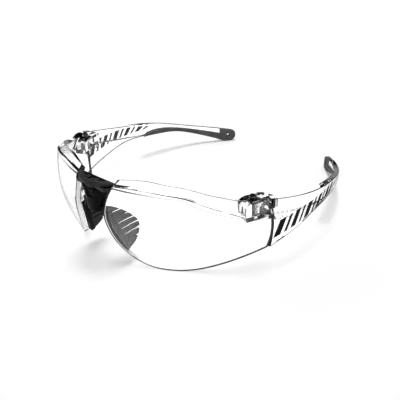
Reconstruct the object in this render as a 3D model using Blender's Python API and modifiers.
"""Clear wrap-around sports glasses: two lenses on a black bridge, soft nose pads, folding temples.

Metres, +Z up, as the glasses lie on a table with the temples open. The front faces -Y and
+X is the wearer's left. Each side piece is modelled on the left and mirrored for the right.
"""
from math import cos, pi, radians, sin, sqrt, tan

import bmesh
import bpy
import numpy as np
from mathutils import Matrix, Vector

# Gaps between pieces
FIT_GAP = 0.0003
HINGE_GAP = 0.0004

# Lens surface: a ring round a vertical axis, curved in to top and bottom, leaning out at the top
LENS_AXIS_Y = -0.0115
LENS_RADIUS = 0.0746
LENS_SAG_RADIUS = 0.0727
LENS_EQUATOR_Z = 0.0185
LENS_LEAN = radians(14.5)
LENS_WALL = 0.0022
LENS_EDGE = 0.0004
PARTING_BEFORE_AXIS = 0.0234
LENS_REAR_Y = LENS_AXIS_Y - PARTING_BEFORE_AXIS

# Lens outline, seen from the front
NASAL_X = 0.0102
NASAL_Z = 0.033
NASAL_UPPER_RADIUS = 0.036
LENS_LOW_X = 0.0343
LENS_REST_LENGTH = 0.004
LENS_CORNER_Z = 0.0103
LENS_CORNER_SLOPE = 0.36
BROW_NASAL_Z = 0.0458
BROW_Z = 0.0465
BROW_OUTER_Z = 0.0457
BROW_DROP_Z = 0.0382
BROW_END_Z = 0.0302
BROW_SETBACK = 0.0049
SETBACK_START_Z = 0.0310
SETBACK_POWER = 1.35
LEDGE_NASAL_DEPTH = 0.0032
LEDGE_DEPTH = 0.0040
LEDGE_END_DEPTH = 0.0026
LEDGE_NASAL_RISE = 0.0008
LEDGE_RISE = 0.0032
LEDGE_END_RISE = 0.0080
LEDGE_HOLLOW = 1.6
PARTING_BULGE = 0.0016
PARTING_Z = 0.0220
PARTING_HALF_HEIGHT = 0.0130

# Tongue that carries each lens in the bridge, with a window for a peg
TONGUE_END_X = 0.0009
TONGUE_BELOW_BROW = 0.0008
TONGUE_TOP_Z = BROW_NASAL_Z - TONGUE_BELOW_BROW
TONGUE_WALL = 0.0020
TONGUE_WIDTH = 0.0046
TONGUE_ROOT = 0.0014
PEG_X = 0.0030
PEG_LENGTH = 0.0026
PEG_WIDTH = 0.0020
PEG_RISE = 0.0018
PEG_TOP_Z = TONGUE_TOP_Z + PEG_RISE

# Bridge: stem below, hood above
STEM_BOTTOM_Z = 0.0302
STEM_BOTTOM_HALF = 0.0046
STEM_TOP_HALF = 0.0096
STEM_POINT = 0.7
STEM_FLARE = 1.5
STEM_SETBACK = 0.0012
STEM_BOTTOM_DEPTH = 0.0040
STEM_DEPTH = 0.0064
HOOD_HALF = 0.0115
HOOD_TOP_HALF = 0.0126
HOOD_RIM_RISE = 0.0004
HOOD_HEIGHT = 0.0024
HOOD_DROOP = 0.0014
HOOD_RIM_Z = TONGUE_TOP_Z + HOOD_RIM_RISE
HOOD_TOP_Z = HOOD_RIM_Z + HOOD_HEIGHT
HOOD_OVERHANG = 0.0016
HOOD_FLOOR = 0.0008
HOOD_WALL = 0.0014
HOOD_HOLLOW = 0.0018
BRIDGE_EDGE = 0.0003
BRIDGE_POINT = 1.15
PANEL_WIDTH = 0.0050
PANEL_HEIGHT = 0.0042
PANEL_DEPTH = 0.0006
PANEL_Z = 0.0375

# Nose pads and the arms that hold them
PAD_LENGTH = 0.0249
PAD_RISE = 0.0009
PAD_DEPTH = 0.0134
PAD_PEAK = 0.0158
PAD_END_DEPTH = 0.0024
PAD_WALL = 0.0016
PAD_SPLAY = radians(13)
PAD_UPPER_POWER = 1.55
PAD_SLOT_COUNT = 6
PAD_SHORT_SLOTS = (1, 5)
PAD_SLOT_WIDTH = 0.0009
PAD_SLOT_MOUTH = 0.0014
PAD_SLOT_START = 0.0026
PAD_SLOT_PITCH = 0.0034
PAD_SLOT_ROOT = 0.0032
PAD_SHORT_ROOT = 0.0088
PAD_SLOT_SLANT = radians(16)
PAD_SEAT = 0.0011
ARM_WALL = 0.0030
ARM_DEPTH = 0.0028
ARM_START = 0.0030
ARM_EDGE = 0.0004
ARM_PEG = 0.0020
ARM_PEG_SEAT = 0.0014
ARM_Z = 0.0325

# Hinge at the upper outer corner: an arch on the lens, a knuckle on the temple, a screw
HINGE_BEFORE_PARTING = 0.004125
HINGE_INSET = 0.0064
HINGE_Z = 0.0340
KNUCKLE_RADIUS = 0.0034
KNUCKLE_HEIGHT = 0.0052
KNUCKLE_ARM_HALF = 0.0028
KNUCKLE_ARM_DEPTH = 0.0040
EAR_HEIGHT = 0.0027
LOWER_EAR_HEIGHT = 0.0022
ARCH_HALF = 0.0080
ARCH_DEPTH = 0.0094
ARCH_PROUD = 0.00025
SCREW_RADIUS = 0.0008
SCREW_HEAD_RADIUS = 0.0016
SCREW_HEAD_HEIGHT = 0.0010
SCREW_SINK = 0.0004
DRIVER_SLOT = 0.0004

# Temples: a plan arc for the outer face, with heights as shares of the root's at shares of the length
TEMPLE_LENGTH = 0.1340
TEMPLE_RADIUS = 0.1285
TEMPLE_SPLAY = radians(16.6)
TEMPLE_ROOT = 0.001
TEMPLE_BEAM = 0.0040
TEMPLE_TAIL = 0.0032
TEMPLE_WEB = 0.0021
TEMPLE_EDGE = 0.0004
BEAM_HEIGHT = 0.0082
BEAM_END_SHARE = 0.50
TEMPLE_ROOT_Z = 0.0385
TEMPLE_TOP_LINE = ((0.0, 1.0), (0.2, 0.831), (0.49, 0.631), (0.74, 0.4), (1.0, 0.208))
TEMPLE_LOW_LINE = ((0.0, 0.268), (0.15, 0.364), (0.28, 0.444), (0.5, 0.421), (0.62, 0.379),
                   (0.76, 0.229), (0.9, 0.052), (0.955, -0.016), (1.0, 0.042))
RIB_COUNT = 4
RIB_START = 0.005
RIB_PITCH = 0.0032
RIB_WALL = 0.0008
RIB_HEIGHT = 0.0040

# Soft grips let into the inner side of the temples, with a tip that takes a cord
GRIP_START_SHARE = 0.4067
GRIP_TIP_LENGTH = 0.0130
GRIP_LINE = ((0.4, 0.447), (0.43, 0.491), (0.5, 0.509), (0.62, 0.442), (0.76, 0.309), (0.92, 0.156))
GRIP_SKIN = 0.0013
GRIP_PROUD = 0.0005
GRIP_EDGE = 0.0004
TIP_EDGE = 0.0007
TIP_ROUND = 0.0030
TIP_END_SHRINK = 0.8
TANG_WALL = 0.0008
TANG_MARGIN = 0.0016
TANG_FROM_END = 0.0032
CORD_HOLE_RADIUS = 0.0012
CORD_HOLE_FROM_END = 0.0062
CORD_HOLE_Z = 0.0052


def clear_scene():
    for obj in list(bpy.data.objects):
        bpy.data.objects.remove(obj, do_unlink=True)


def make_collection(name):
    collection = bpy.data.collections.new(name)
    bpy.context.scene.collection.children.link(collection)
    return collection


def make_material(name, colour, roughness, metallic=0.0, transmission=0.0):
    material = bpy.data.materials.new(name)
    material.use_nodes = True
    shader = material.node_tree.nodes["Principled BSDF"]
    shader.inputs["Base Color"].default_value = (*colour, 1.0)
    shader.inputs["Roughness"].default_value = roughness
    shader.inputs["Metallic"].default_value = metallic
    shader.inputs["Transmission Weight"].default_value = transmission
    return material


def add_mesh(name, bm, material=None):
    """A part when it has a material, otherwise a helper for a Boolean."""
    mesh = bpy.data.meshes.new(name)
    bm.to_mesh(mesh)
    bm.free()
    mesh.shade_smooth()
    mesh.set_sharp_from_angle(angle=radians(35))
    obj = bpy.data.objects.new(name, mesh)
    if material:
        mesh.materials.append(material)
        PARTS.objects.link(obj)
    else:
        obj.hide_render = True
        obj.display_type = "WIRE"
        CUTTERS.objects.link(obj)
    return obj


def curve_at(points, share):
    """Height at a share of the length, on the smooth line through the points."""
    shares, heights = zip(*points)
    slopes = np.gradient(heights, shares)
    i = int(np.clip(np.searchsorted(shares, share) - 1, 0, len(points) - 2))
    span = shares[i + 1] - shares[i]
    t = (share - shares[i]) / span
    start = (2 * t**3 - 3 * t**2 + 1) * heights[i] + (t**3 - 2 * t**2 + t) * span * slopes[i]
    end = (3 * t**2 - 2 * t**3) * heights[i + 1] + (t**3 - t**2) * span * slopes[i + 1]
    return start + end


def loft(rings):
    """A closed skin through rings of equally many points."""
    bm = bmesh.new()
    layers = [[bm.verts.new(point) for point in ring] for ring in rings]
    count = len(layers[0])
    for lower, upper in zip(layers[:-1], layers[1:]):
        for i in range(count):
            j = (i + 1) % count
            bm.faces.new((lower[i], lower[j], upper[j], upper[i]))
    bm.faces.new(layers[0])
    bm.faces.new(layers[-1])
    bmesh.ops.triangulate(bm, faces=bm.faces)
    bmesh.ops.recalc_face_normals(bm, faces=bm.faces)
    return bm


def patch(columns, rows, place):
    """A grid whose points are placed by their column share and row number."""
    bm = bmesh.new()
    bmesh.ops.create_grid(bm, x_segments=columns, y_segments=rows, size=0.5)
    for vertex in bm.verts:
        vertex.co = place(vertex.co.x + 0.5, round((vertex.co.y + 0.5) * rows))
    return bm


def box(low, high, frame=Matrix()):
    low, high = Vector(low), Vector(high)
    bm = bmesh.new()
    scale = Matrix.Diagonal((*(high - low), 1.0))
    bmesh.ops.create_cube(bm, size=1.0, matrix=frame @ Matrix.Translation((low + high) / 2) @ scale)
    return bm


def cylinder(radius, height, frame, segments=32):
    bm = bmesh.new()
    bmesh.ops.create_cone(bm, cap_ends=True, segments=segments, radius1=radius, radius2=radius,
                          depth=height, matrix=frame)
    return bm


def prism(outline, depth, frame=Matrix()):
    """A flat outline in the frame's XY plane, thickened both ways along its Z."""
    curve = bpy.data.curves.new("outline", "CURVE")
    curve.dimensions = "2D"
    curve.fill_mode = "BOTH"
    curve.extrude = depth / 2
    spline = curve.splines.new("POLY")
    spline.points.add(len(outline) - 1)
    for point, (x, y) in zip(spline.points, outline):
        point.co = (x, y, 0.0, 1.0)
    spline.use_cyclic_u = True
    holder = bpy.data.objects.new("outline", curve)
    CUTTERS.objects.link(holder)
    mesh = evaluated_mesh(holder)
    bpy.data.objects.remove(holder)
    bpy.data.curves.remove(curve)
    bm = bmesh.new()
    bm.from_mesh(mesh)
    bpy.data.meshes.remove(mesh)
    bmesh.ops.remove_doubles(bm, verts=bm.verts, dist=1e-7)
    bmesh.ops.transform(bm, matrix=frame, verts=bm.verts)
    bmesh.ops.recalc_face_normals(bm, faces=bm.faces)
    return bm


def combine(obj, operation, name, bm):
    modifier = obj.modifiers.new(name, "BOOLEAN")
    modifier.operation = operation
    modifier.solver = "EXACT"
    modifier.object = add_mesh(f"{obj.name}_{name}", bm)
    return modifier.object


def cut(obj, name, bm):
    return combine(obj, "DIFFERENCE", name, bm)


def join(obj, name, bm):
    return combine(obj, "UNION", name, bm)


def thicken(obj, wall):
    """Turns an outer face into a wall, inwards."""
    modifier = obj.modifiers.new("wall", "SOLIDIFY")
    modifier.thickness = wall
    modifier.use_even_offset = True


def bevel(obj, width, segments=2, angle=radians(50)):
    modifier = obj.modifiers.new("edges", "BEVEL")
    modifier.width = width
    modifier.segments = segments
    modifier.limit_method = "ANGLE"
    modifier.angle_limit = angle


def evaluated_mesh(obj):
    bpy.context.view_layer.update()
    return bpy.data.meshes.new_from_object(obj.evaluated_get(bpy.context.evaluated_depsgraph_get()))


def mirror_to_right(obj):
    """The right-hand twin of a left-hand piece."""
    mesh = evaluated_mesh(obj)
    mesh.transform(Matrix.Diagonal((-1.0, 1.0, 1.0, 1.0)))
    mesh.flip_normals()
    name = obj.name.replace("left", "right")
    mesh.name = name
    twin = bpy.data.objects.new(name, mesh)
    PARTS.objects.link(twin)
    return twin


def hang_on_hinge(pieces, name, point):
    """An empty on the hinge axis that carries the pieces of one temple."""
    empty = bpy.data.objects.new(name, None)
    empty.location = point
    empty.empty_display_size = KNUCKLE_RADIUS
    PARTS.objects.link(empty)
    for piece in pieces:
        piece.parent = empty
        piece.matrix_parent_inverse = Matrix.Translation(-point)


# Lens surface
def lens_point(azimuth, z, inset=0.0):
    """A point at an angle round from the front, and a depth in from the outer face."""
    rise = z - LENS_EQUATOR_Z
    ring = LENS_RADIUS - LENS_SAG_RADIUS + sqrt(LENS_SAG_RADIUS**2 - rise**2) - inset
    return Vector((ring * sin(azimuth), LENS_AXIS_Y - ring * cos(azimuth) - tan(LENS_LEAN) * rise, z))


def lens_at_x(x, z, inset=0.0):
    return lens_point(np.arcsin(x / lens_point(pi / 2, z, inset).x), z, inset)


def lens_at_y(y, z, inset=0.0):
    side = lens_point(pi / 2, z, inset)
    return lens_point(np.arccos((side.y - y) / side.x), z, inset)


def nasal_x(z):
    """Half the gap between the lenses above the waist."""
    return NASAL_X + NASAL_UPPER_RADIUS - sqrt(NASAL_UPPER_RADIUS**2 - (z - NASAL_Z) ** 2)


FAR = 4 * LENS_RADIUS
NASAL_AZIMUTH = radians(6)
REAR_AZIMUTH = radians(78)
BROW_LINE = ((0.0, BROW_NASAL_Z), (0.2, BROW_Z), (0.4, BROW_Z), (0.5, BROW_OUTER_Z),
             (0.675, BROW_DROP_Z), (0.84, BROW_END_Z + LENS_EDGE), (1.0, BROW_END_Z))
SETBACK_LINE = ((0.0, 1.0), (0.13, 0.94), (0.29, 0.72), (0.4, 0.28), (0.5, 0.0), (1.0, 0.0))
LEDGE_LINE = ((0.0, LEDGE_NASAL_DEPTH), (0.3, LEDGE_NASAL_DEPTH), (0.5, LEDGE_DEPTH), (0.64, LEDGE_DEPTH),
              (0.83, LEDGE_END_DEPTH), (1.0, LEDGE_END_DEPTH))
LEDGE_RISE_LINE = ((0.0, LEDGE_NASAL_RISE), (0.25, LEDGE_RISE), (0.55, LEDGE_RISE),
                   (0.7, (LEDGE_RISE + LEDGE_END_RISE) / 2), (0.83, LEDGE_END_RISE), (1.0, LEDGE_END_RISE))


def setback(azimuth, z):
    """How far the face bends back from the ring towards the brow above the nose."""
    share = (azimuth - NASAL_AZIMUTH) / (REAR_AZIMUTH - NASAL_AZIMUTH)
    height = max(0.0, z - SETBACK_START_Z) / (BROW_Z - SETBACK_START_Z)
    return BROW_SETBACK * curve_at(SETBACK_LINE, share) * height**SETBACK_POWER


# Places that follow from the sizes
HINGE_AXIS = lens_at_y(LENS_REAR_Y - HINGE_BEFORE_PARTING, HINGE_Z, HINGE_INSET)
HINGE_AZIMUTH = np.arcsin(HINGE_AXIS.x / lens_point(pi / 2, HINGE_Z, HINGE_INSET).x)
HINGE_FRAME = Matrix.Translation(HINGE_AXIS) @ Matrix.Rotation(HINGE_AZIMUTH - pi / 2, 4, "Z")
SLOT_RADIUS = KNUCKLE_RADIUS + HINGE_GAP
SLOT_HALF = KNUCKLE_HEIGHT / 2 + HINGE_GAP
EAR_TOP_Z = HINGE_Z + SLOT_HALF + EAR_HEIGHT
EAR_BOTTOM_Z = HINGE_Z - SLOT_HALF - LOWER_EAR_HEIGHT
BORE_RADIUS = SCREW_RADIUS + FIT_GAP
STEM_FRONT_Y = lens_at_x(NASAL_X, NASAL_Z).y + STEM_SETBACK
STEM_MIDDLE_Y = STEM_FRONT_Y + STEM_DEPTH / 2
SEAT_Z = TONGUE_TOP_Z - TONGUE_WALL - FIT_GAP
HOOD_BOTTOM_Z = SEAT_Z + FIT_GAP
FLOOR_Z = TONGUE_TOP_Z + FIT_GAP
PAD_TOP = lens_at_x(NASAL_X, ARM_Z, LENS_WALL + FIT_GAP) - Vector((ARM_WALL / 2, 0.0, 0.0))
PAD_FRAME = (Matrix.Translation(PAD_TOP) @ Matrix.Rotation(LENS_LEAN, 4, "X")
             @ Matrix.Rotation(-PAD_SPLAY, 4, "Y"))
SIDE_PLANE = Matrix(((0, 0, 1, 0), (1, 0, 0, 0), (0, 1, 0, 0), (0, 0, 0, 1)))
TEMPLE_HEADING = Vector((sin(TEMPLE_SPLAY), cos(TEMPLE_SPLAY), 0))
TEMPLE_START = lens_at_y(LENS_REAR_Y, BROW_END_Z) - TEMPLE_HEADING * TEMPLE_ROOT
ARM_FRONT_Y = LENS_REAR_Y + PARTING_BULGE + HINGE_GAP
GRIP_START = GRIP_START_SHARE * TEMPLE_LENGTH
GRIP_TIP_START = TEMPLE_LENGTH - GRIP_TIP_LENGTH


# Lens
def lens_outline():
    """What falls away towards the nose and below, seen from the front."""
    rest_start = LENS_LOW_X - LENS_REST_LENGTH / 2
    rest_end = LENS_LOW_X + LENS_REST_LENGTH / 2
    corner_x = lens_at_y(LENS_REAR_Y, LENS_CORNER_Z).x
    run = corner_x - rest_end
    points = [(-FAR, -FAR), (-FAR, FAR), (nasal_x(BROW_Z), FAR)]
    points += [(nasal_x(z), z) for z in np.linspace(BROW_Z, NASAL_Z, 7)]
    for turn in np.linspace(0, pi / 2, 15)[1:]:
        points.append((NASAL_X + (rest_start - NASAL_X) * (1 - cos(turn)), NASAL_Z * (1 - sin(turn))))
    for share in np.linspace(0, 1, 11):
        rise = LENS_CORNER_Z * (3 * share**2 - 2 * share**3)
        points.append((rest_end + run * share, rise + LENS_CORNER_SLOPE * run * (share**3 - share**2)))
    points += [(corner_x + FAR, LENS_CORNER_Z + LENS_CORNER_SLOPE * FAR), (corner_x + FAR, -FAR)]
    return prism(points, 2 * FAR, Matrix.Rotation(pi / 2, 4, "X"))


def lens_skin():
    """The outer face from below the outline up to the brow, then the ledge turning in."""
    wall_rows = 12
    ledge_rows = 3
    low = -2 * LENS_WALL

    def place(share, row):
        azimuth = NASAL_AZIMUTH + (REAR_AZIMUTH - NASAL_AZIMUTH) * share
        brow = curve_at(BROW_LINE, share)
        if row <= wall_rows:
            z = low + (brow - low) * row / wall_rows
            return lens_point(azimuth, z, setback(azimuth, z))
        reach = (row - wall_rows) / ledge_rows
        depth = setback(azimuth, brow) + curve_at(LEDGE_LINE, share) * reach
        rise = curve_at(LEDGE_RISE_LINE, share) * reach**LEDGE_HOLLOW
        return lens_point(azimuth, brow, depth) + Vector((0.0, 0.0, rise))

    return patch(36, wall_rows + ledge_rows, place)


def arch_skin():
    """The face of the hinge arch, just proud of the lens."""
    rows = 6
    ring = lens_point(pi / 2, HINGE_Z).x

    def place(share, row):
        side = 2 * share - 1
        top = HINGE_Z + (EAR_TOP_Z - HINGE_Z) * sqrt(1 - side**2)
        z = EAR_BOTTOM_Z + (top - EAR_BOTTOM_Z) * row / rows
        return lens_point(HINGE_AZIMUTH + ARCH_HALF / ring * side, z, -ARCH_PROUD)

    return patch(16, rows, place)


def parting(gap, end):
    """Everything behind the bowed joint face between lens and temple, or before it."""
    points = [(end, -FAR), (end, FAR), (LENS_REAR_Y + gap, FAR)]
    for share in np.linspace(1, -1, 9):
        bow = PARTING_BULGE * (1 - share**2)
        points.append((LENS_REAR_Y + gap + bow, PARTING_Z + PARTING_HALF_HEIGHT * share))
    points.append((LENS_REAR_Y + gap, -FAR))
    return prism(points, 2 * FAR, SIDE_PLANE)


def tongue_outline():
    """From the middle of the bridge out to the lens wall, seen from above."""
    edge = nasal_x(TONGUE_TOP_Z)
    azimuth = np.arcsin(edge / lens_point(pi / 2, TONGUE_TOP_Z).x)
    wall_y = lens_point(azimuth, TONGUE_TOP_Z, setback(azimuth, TONGUE_TOP_Z) + LENS_WALL / 2).y
    front = STEM_MIDDLE_Y - TONGUE_WIDTH / 2
    rear = STEM_MIDDLE_Y + TONGUE_WIDTH / 2
    return [(TONGUE_END_X, front), (edge - LENS_WALL, front), (edge + TONGUE_ROOT, wall_y - LENS_EDGE),
            (edge + TONGUE_ROOT, wall_y + LENS_EDGE), (edge - LENS_WALL, rear), (TONGUE_END_X, rear)]


def peg_box(gap, low, high):
    half = Vector((PEG_LENGTH / 2 + gap, PEG_WIDTH / 2 + gap))
    return box((PEG_X - half.x, STEM_MIDDLE_Y - half.y, low), (PEG_X + half.x, STEM_MIDDLE_Y + half.y, high))


def mirrored(bm):
    bmesh.ops.scale(bm, vec=(-1, 1, 1), verts=bm.verts)
    bmesh.ops.reverse_faces(bm, faces=bm.faces)
    return bm


def build_lens():
    lens = add_mesh("lens_left", lens_skin(), CLEAR)
    thicken(lens, LENS_WALL)
    bevel(lens, LENS_EDGE)
    cut(lens, "outline", lens_outline())
    thicken(join(lens, "arch", arch_skin()), ARCH_DEPTH)
    cut(lens, "parting", parting(0.0, FAR))
    slot = box((-FAR, -SLOT_RADIUS, -SLOT_HALF), (SLOT_RADIUS, FAR, SLOT_HALF), HINGE_FRAME)
    cut(lens, "knuckle_slot", slot)
    cut(lens, "bore", cylinder(BORE_RADIUS, 4 * EAR_TOP_Z, HINGE_FRAME, 24))
    head_z = EAR_TOP_Z - SCREW_SINK - SCREW_HEAD_HEIGHT - FIT_GAP
    head_frame = Matrix.Translation((HINGE_AXIS.x, HINGE_AXIS.y, head_z + EAR_TOP_Z / 2))
    cut(lens, "head_seat", cylinder(SCREW_HEAD_RADIUS + FIT_GAP, EAR_TOP_Z, head_frame, 24))
    tongue_z = TONGUE_TOP_Z - TONGUE_WALL / 2
    join(lens, "tongue", prism(tongue_outline(), TONGUE_WALL, Matrix.Translation((0, 0, tongue_z))))
    cut(lens, "peg_window", peg_box(FIT_GAP, SEAT_Z, PEG_TOP_Z))
    for modifier in lens.modifiers:
        if modifier.type == "BOOLEAN":
            modifier.solver = "MANIFOLD"
    return lens


# Hinge screw
def build_screw():
    top = EAR_TOP_Z - SCREW_SINK
    shoulder = top - SCREW_HEAD_HEIGHT
    profile = ((0, top), (SCREW_HEAD_RADIUS, top), (SCREW_HEAD_RADIUS, shoulder), (SCREW_RADIUS, shoulder),
               (SCREW_RADIUS, EAR_BOTTOM_Z + FIT_GAP), (0, EAR_BOTTOM_Z + FIT_GAP))
    bm = bmesh.new()
    points = [bm.verts.new((x, 0, z - HINGE_Z)) for x, z in profile]
    for start, end in zip(points[:-1], points[1:]):
        bm.edges.new((start, end))
    screw = add_mesh("hinge_screw_left", bm, STEEL)
    turn = screw.modifiers.new("turn", "SCREW")
    turn.steps = 24
    turn.render_steps = 24
    turn.use_merge_vertices = True
    turn.merge_threshold = 1e-5
    turn.use_normal_calculate = True
    slot = DRIVER_SLOT / 2
    top_z = top - HINGE_Z
    cut(screw, "driver_slot", box((-FAR, -slot, top_z - DRIVER_SLOT), (FAR, slot, FAR)))
    screw.data = evaluated_mesh(screw)
    screw.modifiers.clear()
    screw.data.transform(Matrix.Translation(HINGE_AXIS))
    return screw


# Temple
def temple_point(along, inset, z):
    """A point along the temple, at a depth in from its outer face."""
    heading = TEMPLE_SPLAY - along / TEMPLE_RADIUS
    x = TEMPLE_START.x + TEMPLE_RADIUS * (cos(heading) - cos(TEMPLE_SPLAY)) - inset * cos(heading)
    y = TEMPLE_START.y + TEMPLE_RADIUS * (sin(TEMPLE_SPLAY) - sin(heading)) + inset * sin(heading)
    return Vector((x, y, z))


def temple_frame(along, inset, z):
    heading = TEMPLE_SPLAY - along / TEMPLE_RADIUS
    return Matrix.Translation(temple_point(along, inset, z)) @ Matrix.Rotation(-heading, 4, "Z")


def top_z(along):
    return TEMPLE_ROOT_Z * curve_at(TEMPLE_TOP_LINE, along / TEMPLE_LENGTH)


def low_z(along):
    return TEMPLE_ROOT_Z * max(0.0, curve_at(TEMPLE_LOW_LINE, along / TEMPLE_LENGTH))


def beam_wall(along):
    return TEMPLE_BEAM + (TEMPLE_TAIL - TEMPLE_BEAM) * along / TEMPLE_LENGTH


def temple_ring(along):
    """Section with a thick upper beam and a thin lower web that dies out along the way."""
    wall = beam_wall(along)
    blend = np.clip(2 * along / (BEAM_END_SHARE * TEMPLE_LENGTH) - 1, 0, 1)
    web = TEMPLE_WEB + (wall - TEMPLE_EDGE / 4 - TEMPLE_WEB) * blend
    top, low, edge = top_z(along), low_z(along), TEMPLE_EDGE
    step = max(top - BEAM_HEIGHT, low + wall - web + 3 * edge)
    section = ((0, low + edge), (0, top - edge), (edge, top), (wall - edge, top), (wall, top - edge),
               (wall, step), (web, step - (wall - web)), (web, low + edge), (web - edge, low), (edge, low))
    return [temple_point(along, inset, z) for inset, z in section]


def tang_ring(along, gap=0.0, outside=0.0):
    top = top_z(along) - TANG_MARGIN + gap
    low = low_z(along) + TANG_MARGIN - gap
    section = ((-outside, low), (-outside, top), (TANG_WALL + gap, top), (TANG_WALL + gap, low))
    return [temple_point(along, inset, z) for inset, z in section]


def grip_ring(along, gap=0.0, below=0.0):
    """Section of the soft strip, or of the rebate for it when given a gap."""
    inner = beam_wall(along) + GRIP_PROUD + gap
    low = low_z(along) - below
    top = TEMPLE_ROOT_Z * curve_at(GRIP_LINE, along / TEMPLE_LENGTH) + gap
    edge = min(GRIP_EDGE, (top - low) / 4)
    skin = GRIP_SKIN - gap
    section = ((skin, low), (skin, top), (inner - edge, top), (inner, top - edge), (inner, low + edge),
               (inner - edge, low))
    return [temple_point(along, inset, z) for inset, z in section]


def tip_ring(along):
    """Section of the soft tip, rounded off towards its end."""
    past = max(0.0, along - TEMPLE_LENGTH + TIP_ROUND) / TIP_ROUND
    shrink = sqrt(1 - TIP_END_SHRINK * past**2)
    wall = beam_wall(along) + GRIP_PROUD
    top, low = top_z(along), low_z(along)
    middle = (top + low) / 2
    half_z = (top - low) / 2 * shrink
    half_x = wall / 2 * shrink
    edge = TIP_EDGE * shrink
    corners = ((-1, -1), (-1, 1), (1, 1), (1, -1))
    section = []
    for side, level in corners:
        upright = (wall / 2 + side * half_x, middle + level * (half_z - edge))
        flat = (wall / 2 + side * (half_x - edge), middle + level * half_z)
        section += [flat, upright] if side == level else [upright, flat]
    return [temple_point(along, inset, z) for inset, z in section]


def knuckle_arm():
    """From the knuckle back past the parting face, then out into the beam."""
    rear = ARM_FRONT_Y
    back = rear + KNUCKLE_ARM_DEPTH
    beam_x = temple_point(TEMPLE_ROOT + KNUCKLE_ARM_DEPTH / 2, TEMPLE_BEAM / 2, 0).x
    left, right = HINGE_AXIS.x - KNUCKLE_ARM_HALF, HINGE_AXIS.x + KNUCKLE_ARM_HALF
    outline = [(left, HINGE_AXIS.y), (right, HINGE_AXIS.y), (right, rear), (beam_x, rear), (beam_x, back),
               (left + KNUCKLE_ARM_HALF, back), (left, back - KNUCKLE_ARM_HALF)]
    return prism(outline, KNUCKLE_HEIGHT, Matrix.Translation((0, 0, HINGE_Z)))


def build_temple():
    stations = np.linspace(0, GRIP_TIP_START - FIT_GAP, 27)
    temple = add_mesh("temple_left", loft([temple_ring(s) for s in stations]), CLEAR)
    tang_end = TEMPLE_LENGTH - TANG_FROM_END
    tang = np.linspace(GRIP_TIP_START - TANG_MARGIN, tang_end, 4)
    join(temple, "tang", loft([tang_ring(s) for s in tang]))
    for number in range(RIB_COUNT):
        along = RIB_START + number * RIB_PITCH
        step = top_z(along) - BEAM_HEIGHT
        low = (-(TEMPLE_BEAM - TEMPLE_EDGE), -RIB_WALL / 2, step - RIB_HEIGHT)
        high = (-TEMPLE_WEB / 2, RIB_WALL / 2, step + RIB_HEIGHT / 2)
        join(temple, f"rib_{number}", box(low, high, temple_frame(along, 0, 0)))
    cut(temple, "parting", parting(FIT_GAP, -FAR))
    join(temple, "arm", knuckle_arm())
    join(temple, "knuckle", cylinder(KNUCKLE_RADIUS, KNUCKLE_HEIGHT, HINGE_FRAME))
    cut(temple, "bore", cylinder(BORE_RADIUS, 2 * KNUCKLE_HEIGHT, HINGE_FRAME, 24))
    rebate = np.linspace(GRIP_START - FIT_GAP, GRIP_TIP_START + TANG_MARGIN, 16)
    cut(temple, "rebate", loft([grip_ring(s, FIT_GAP, TANG_MARGIN) for s in rebate]))
    cut(temple, "cord_hole", cord_hole(FIT_GAP))
    return temple


def cord_hole(gap):
    frame = temple_frame(TEMPLE_LENGTH - CORD_HOLE_FROM_END, 0, CORD_HOLE_Z)
    return cylinder(CORD_HOLE_RADIUS + gap, 4 * TEMPLE_BEAM, frame @ Matrix.Rotation(pi / 2, 4, "Y"), 24)


# Soft grip
def build_grip():
    strip = np.linspace(GRIP_START, GRIP_TIP_START + TANG_MARGIN, 16)
    grip = add_mesh("temple_grip_left", loft([grip_ring(s) for s in strip]), RUBBER)
    flat = np.linspace(GRIP_TIP_START, TEMPLE_LENGTH - TIP_ROUND, 9)
    rounded = TEMPLE_LENGTH - TIP_ROUND * (1 - np.sin(np.linspace(0, pi / 2, 5)[1:]))
    tip = loft([tip_ring(s) for s in (*flat, *rounded)])
    join(grip, "tip", tip)
    pocket_end = TEMPLE_LENGTH - TANG_FROM_END + FIT_GAP
    pocket = np.linspace(GRIP_TIP_START - TANG_MARGIN, pocket_end, 4)
    cut(grip, "tang_pocket", loft([tang_ring(s, FIT_GAP, TEMPLE_BEAM) for s in pocket]))
    cut(grip, "cord_hole", cord_hole(0.0))
    return grip


# Bridge
def bridge_ring(z, half, front, rear, hollow=0.0, droop=0.0, point=BRIDGE_POINT):
    """A plan section: pointed half ellipse in front, a rear edge that may be hollow, ends that may droop."""
    ring = []
    for turn in np.linspace(0, pi, 17):
        across = half * np.sign(cos(turn)) * abs(cos(turn)) ** point
        ring.append(Vector((across, rear - (rear - front) * sin(turn) ** point, z)))
    for share in np.linspace(-1, 1, 9)[1:-1]:
        ring.append(Vector((half * share, rear - hollow * (1 - share**2), z)))
    return [point - Vector((0.0, 0.0, droop * (point.x / half) ** 2)) for point in ring]


def stem_half(z):
    share = (z - STEM_BOTTOM_Z) / (SEAT_Z - STEM_BOTTOM_Z)
    return STEM_BOTTOM_HALF + (STEM_TOP_HALF - STEM_BOTTOM_HALF) * share**STEM_FLARE


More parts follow.
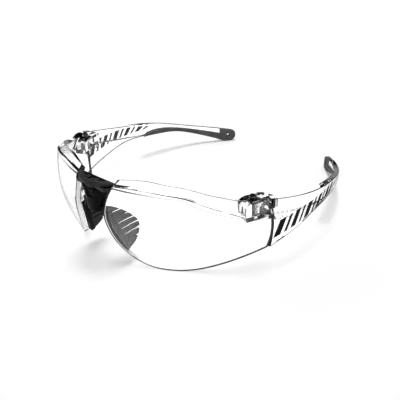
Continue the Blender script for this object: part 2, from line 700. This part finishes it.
def build_bridge_body():
    rings = []
    for share in np.linspace(0, 1, 6):
        z = STEM_BOTTOM_Z + (SEAT_Z - STEM_BOTTOM_Z) * share
        depth = STEM_BOTTOM_DEPTH + (STEM_DEPTH - STEM_BOTTOM_DEPTH) * sin(share * pi / 2)
        rings.append(bridge_ring(z, stem_half(z), STEM_FRONT_Y, STEM_FRONT_Y + depth, point=STEM_POINT))
    body = add_mesh("bridge_body", loft(rings), BLACK)
    panel = Vector((PANEL_WIDTH / 2, STEM_FRONT_Y + PANEL_DEPTH, PANEL_Z + PANEL_HEIGHT))
    cut(body, "panel", box((-panel.x, -FAR, PANEL_Z), panel))
    for name, turn in (("left", lambda bm: bm), ("right", mirrored)):
        join(body, f"peg_{name}", turn(peg_box(0.0, SEAT_Z - TONGUE_WALL, PEG_TOP_Z)))
        cut(body, f"socket_{name}", turn(arm_peg(FIT_GAP)))
    return body


def build_bridge_cap():
    front, rear = STEM_FRONT_Y, STEM_FRONT_Y + STEM_DEPTH
    rim = front - HOOD_OVERHANG
    waist = (HOOD_BOTTOM_Z + HOOD_RIM_Z) / 2
    rings = [bridge_ring(HOOD_BOTTOM_Z, STEM_TOP_HALF, front, rear),
             bridge_ring(waist, (STEM_TOP_HALF + HOOD_HALF) / 2 - HOOD_WALL / 2, front, rear),
             bridge_ring(HOOD_RIM_Z - BRIDGE_EDGE, HOOD_HALF - HOOD_WALL, front - BRIDGE_EDGE, rear),
             bridge_ring(HOOD_RIM_Z, HOOD_HALF, rim, rear, HOOD_HOLLOW / 2, HOOD_DROOP),
             bridge_ring(HOOD_TOP_Z - BRIDGE_EDGE, HOOD_TOP_HALF, rim, rear, HOOD_HOLLOW, HOOD_DROOP),
             bridge_ring(HOOD_TOP_Z, HOOD_TOP_HALF - BRIDGE_EDGE, rim + BRIDGE_EDGE, rear - BRIDGE_EDGE,
                         HOOD_HOLLOW, HOOD_DROOP)]
    cap = add_mesh("bridge_cap", loft(rings), BLACK)
    for name, turn in (("left", lambda bm: bm), ("right", mirrored)):
        cut(cap, f"peg_window_{name}", turn(peg_box(FIT_GAP, 0, FAR)))
    channel_front = STEM_MIDDLE_Y - TONGUE_WIDTH / 2 - FIT_GAP
    cut(cap, "tongue_channel", box((-FAR, channel_front, -FAR), (FAR, FAR, FLOOR_Z)))
    back = rear - HOOD_WALL
    pocket = [bridge_ring(FLOOR_Z + HOOD_FLOOR, HOOD_HALF - 3 * HOOD_WALL, rim + 2 * HOOD_WALL, back),
              bridge_ring(HOOD_TOP_Z + HOOD_WALL, HOOD_TOP_HALF - HOOD_WALL, rim + HOOD_WALL, back,
                          HOOD_HOLLOW)]
    cut(cap, "pocket", loft(pocket))
    return cap


# Nose pads
def arm_peg(gap):
    """The square peg of a pad arm, or the socket for it when given a gap."""
    half = ARM_PEG / 2 + gap
    y = PAD_TOP.y + ARM_DEPTH / 2
    end = stem_half(ARM_Z) - ARM_PEG_SEAT - gap
    return box((end, y - half, ARM_Z - half), (stem_half(ARM_Z) + FIT_GAP + ARM_PEG, y + half, ARM_Z + half))


def arm_link():
    """From the peg slanting out and down to the head of the pad rail."""
    start = Vector((stem_half(ARM_Z) + FIT_GAP + ARM_PEG / 2, PAD_TOP.y + ARM_DEPTH / 2, ARM_Z))
    end = PAD_FRAME @ Vector((0.0, ARM_DEPTH / 2, -ARM_START - ARM_PEG))
    slant = (end - start).to_track_quat("Z", "Y").to_matrix().to_4x4()
    half = ARM_PEG / 2
    return box((-half, -half, 0), (half, half, (end - start).length), Matrix.Translation(start) @ slant)


def build_pad_arm():
    half = ARM_WALL / 2
    bar = box((-half, 0, -PAD_LENGTH), (half, ARM_DEPTH, -ARM_START), PAD_FRAME)
    arm = add_mesh("pad_arm_left", bar, BLACK)
    bevel(arm, ARM_EDGE)
    join(arm, "link", arm_link())
    join(arm, "peg", arm_peg(0.0))
    seat = ARM_DEPTH - PAD_SEAT - FIT_GAP
    groove = PAD_WALL / 2 + FIT_GAP
    cut(arm, "pad_groove", box((-groove, seat, -FAR), (groove, FAR, FAR), PAD_FRAME))
    return arm


def pad_outline():
    """A skewed D: depth back from the arm against length down it."""
    swell = PAD_DEPTH - PAD_END_DEPTH
    points = [(ARM_DEPTH - PAD_SEAT, PAD_RISE), (PAD_END_DEPTH, PAD_RISE)]
    for turn in np.linspace(0, pi / 2, 10)[1:]:
        back = swell * sin(turn) ** PAD_UPPER_POWER
        drop = (PAD_RISE + PAD_PEAK) * (1 - cos(turn) ** PAD_UPPER_POWER)
        points.append((PAD_END_DEPTH + back, PAD_RISE - drop))
    for turn in np.linspace(0, pi / 2, 8)[1:]:
        below = (PAD_LENGTH - PAD_PEAK) * sin(turn)
        points.append((PAD_END_DEPTH + swell * cos(turn), -PAD_PEAK - below))
    points.append((ARM_DEPTH - PAD_SEAT, -PAD_LENGTH))
    return points


def pad_slot(root):
    """The outline of a slot that widens from its root to past the pad's edge."""
    past = PAD_DEPTH + PAD_SLOT_PITCH
    mouth, half = PAD_SLOT_MOUTH / 2, PAD_SLOT_WIDTH / 2
    return [(root, -half), (past, -mouth), (past, mouth), (root, half)]


def build_nose_pad():
    pad = add_mesh("nose_pad_left", prism(pad_outline(), PAD_WALL, PAD_FRAME @ SIDE_PLANE), SOFT)
    bevel(pad, PAD_WALL / 4)
    for number in range(PAD_SLOT_COUNT):
        root = PAD_SHORT_ROOT if number in PAD_SHORT_SLOTS else PAD_SLOT_ROOT
        level = Matrix.Translation((0, 0, -PAD_SLOT_START - number * PAD_SLOT_PITCH))
        frame = PAD_FRAME @ level @ Matrix.Rotation(-PAD_SLOT_SLANT, 4, "X")
        cut(pad, f"slot_{number}", prism(pad_slot(root), 2 * PAD_WALL, frame @ SIDE_PLANE))
    return pad


clear_scene()
PARTS = make_collection("sports_glasses")
CUTTERS = make_collection("cutters")
CLEAR = make_material("clear polycarbonate", (0.95, 0.96, 0.96), 0.03, transmission=1.0)
BLACK = make_material("black nylon", (0.015, 0.015, 0.016), 0.3)
RUBBER = make_material("dark grip rubber", (0.055, 0.056, 0.06), 0.65)
SOFT = make_material("grey soft pad", (0.11, 0.115, 0.12), 0.6)
STEEL = make_material("hinge steel", (0.62, 0.63, 0.65), 0.25, metallic=1.0)

build_bridge_body()
build_bridge_cap()
for build in (build_lens, build_screw, build_pad_arm, build_nose_pad):
    mirror_to_right(build())
temple_pieces = [build_temple(), build_grip()]
right_pieces = [mirror_to_right(piece) for piece in temple_pieces]
hang_on_hinge(temple_pieces, "left_hinge", HINGE_AXIS)
hang_on_hinge(right_pieces, "right_hinge", HINGE_AXIS * Vector((-1, 1, 1)))
